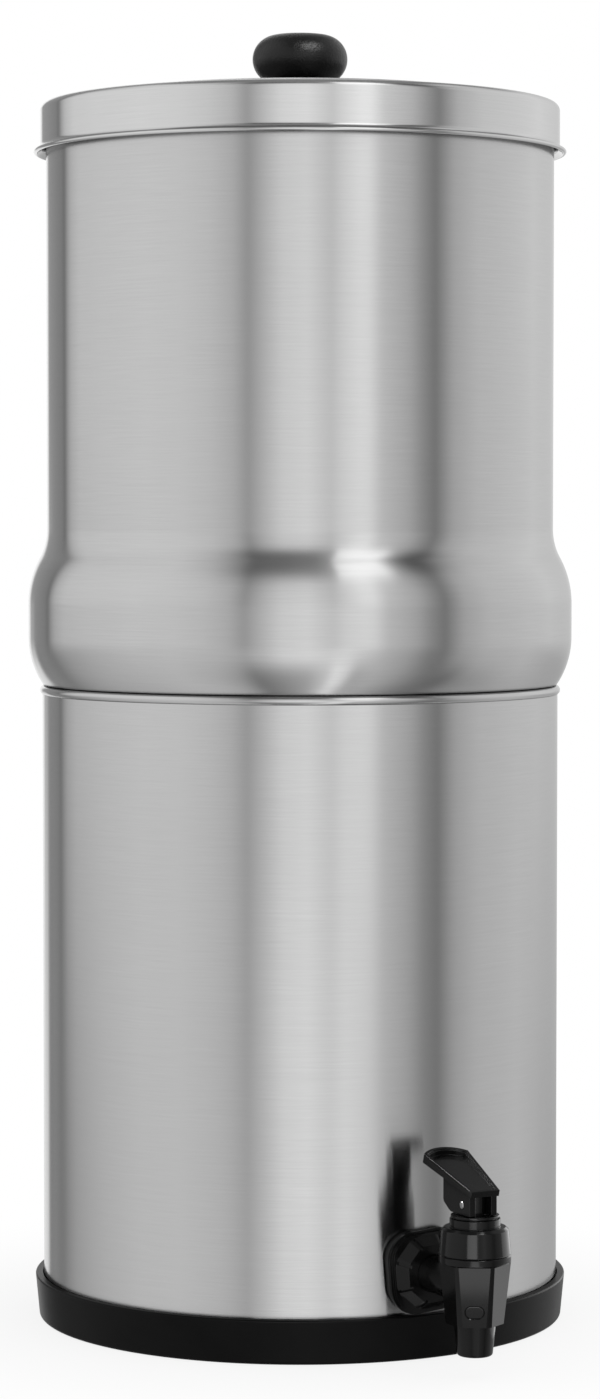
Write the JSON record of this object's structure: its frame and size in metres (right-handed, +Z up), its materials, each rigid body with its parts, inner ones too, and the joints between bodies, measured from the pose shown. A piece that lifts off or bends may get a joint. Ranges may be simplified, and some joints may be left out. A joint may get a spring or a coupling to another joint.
{
  "type": "gravity water filter with tap",
  "caption": "Round two-chamber steel gravity water filter: lidded upper chamber with filter elements nests in a lower chamber with a black lever tap, on a rubber base ring.",
  "frame": {"origin": "on the vessel's axis, at the underside of the base ring, on the surface that the filter stands on", "axes": "+Z up along the vessel's axis; the tap points along -Y; +X to the right of the tap seen from the front"},
  "size_m": [0.2276, 0.2779, 0.5359],
  "materials": {
    "chamber_steel": "fine circumferential brushing, satin",
    "lid_steel": "fine circumferential brushing, satin",
    "base_rubber": "moulded, matte black",
    "knob_plastic": "fine grained, satin black",
    "tap_plastic": "moulded, glossy black",
    "seal_rubber": "moulded, matte black",
    "silicone": "milky silicone",
    "hardware_steel": "plain polished steel",
    "filter_ceramic": "pressed, matte off-white",
    "filter_plastic": "moulded, matte dark grey"
  },
  "bodies": {
    "vessel": {"base_ring": "base_rubber", "lower_chamber": "chamber_steel", "tap_body": "tap_plastic", "tap_flange": "tap_plastic", "tap_gasket": "seal_rubber", "tap_inner_washer": "seal_rubber", "tap_nut": "tap_plastic", "tap_bonnet": "tap_plastic"},
    "upper": {"upper_chamber": "chamber_steel", "filter_base_1": "filter_plastic", "filter_base_2": "filter_plastic", "filter_block_1": "filter_ceramic", "filter_block_2": "filter_ceramic", "filter_cap_1": "filter_plastic", "filter_cap_2": "filter_plastic", "filter_washers": "seal_rubber", "filter_wing_nuts": "filter_plastic", "blocking_plugs": "seal_rubber"},
    "cover": {"lid": "lid_steel", "lid_knob": "knob_plastic", "lid_knob_washer": "hardware_steel", "lid_knob_screw": "hardware_steel"},
    "valve": {"tap_seat_cup": "silicone", "tap_spring": "hardware_steel"},
    "stem": {"tap_stem": "tap_plastic", "tap_handle_pin": "hardware_steel"},
    "lever": {"tap_handle": "tap_plastic"}
  },
  "joints": [
    {"name": "upper_lift", "type": "slide", "parent": "vessel", "child": "upper", "axis": [0, 0, 1], "range_m": [0, 0.06]},
    {"name": "lid_lift", "type": "slide", "parent": "upper", "child": "cover", "axis": [0, 0, 1], "range_m": [0, 0.04]},
    {"name": "tap_valve", "type": "slide", "parent": "vessel", "child": "valve", "axis": [0, 0, 1], "range_m": [0, 0.004], "deforming": ["tap_spring"]},
    {"name": "tap_swivel", "type": "hinge", "parent": "valve", "child": "stem", "pos_m": [0, -0.15, 0.0686], "axis": [0, 0, 1], "continuous": true},
    {"name": "tap_tilt", "type": "hinge", "parent": "stem", "child": "lever", "pos_m": [0, -0.15, 0.0686], "axis": [-1, 0, 0], "range_deg": [0, 30], "stiffness_Nm_per_rad": 0.02, "springref_deg": -5.73}
  ],
  "couplings": [
    {"joint": "tap_valve", "follows": "tap_tilt", "m_per_rad": 0.0076}
  ]
}
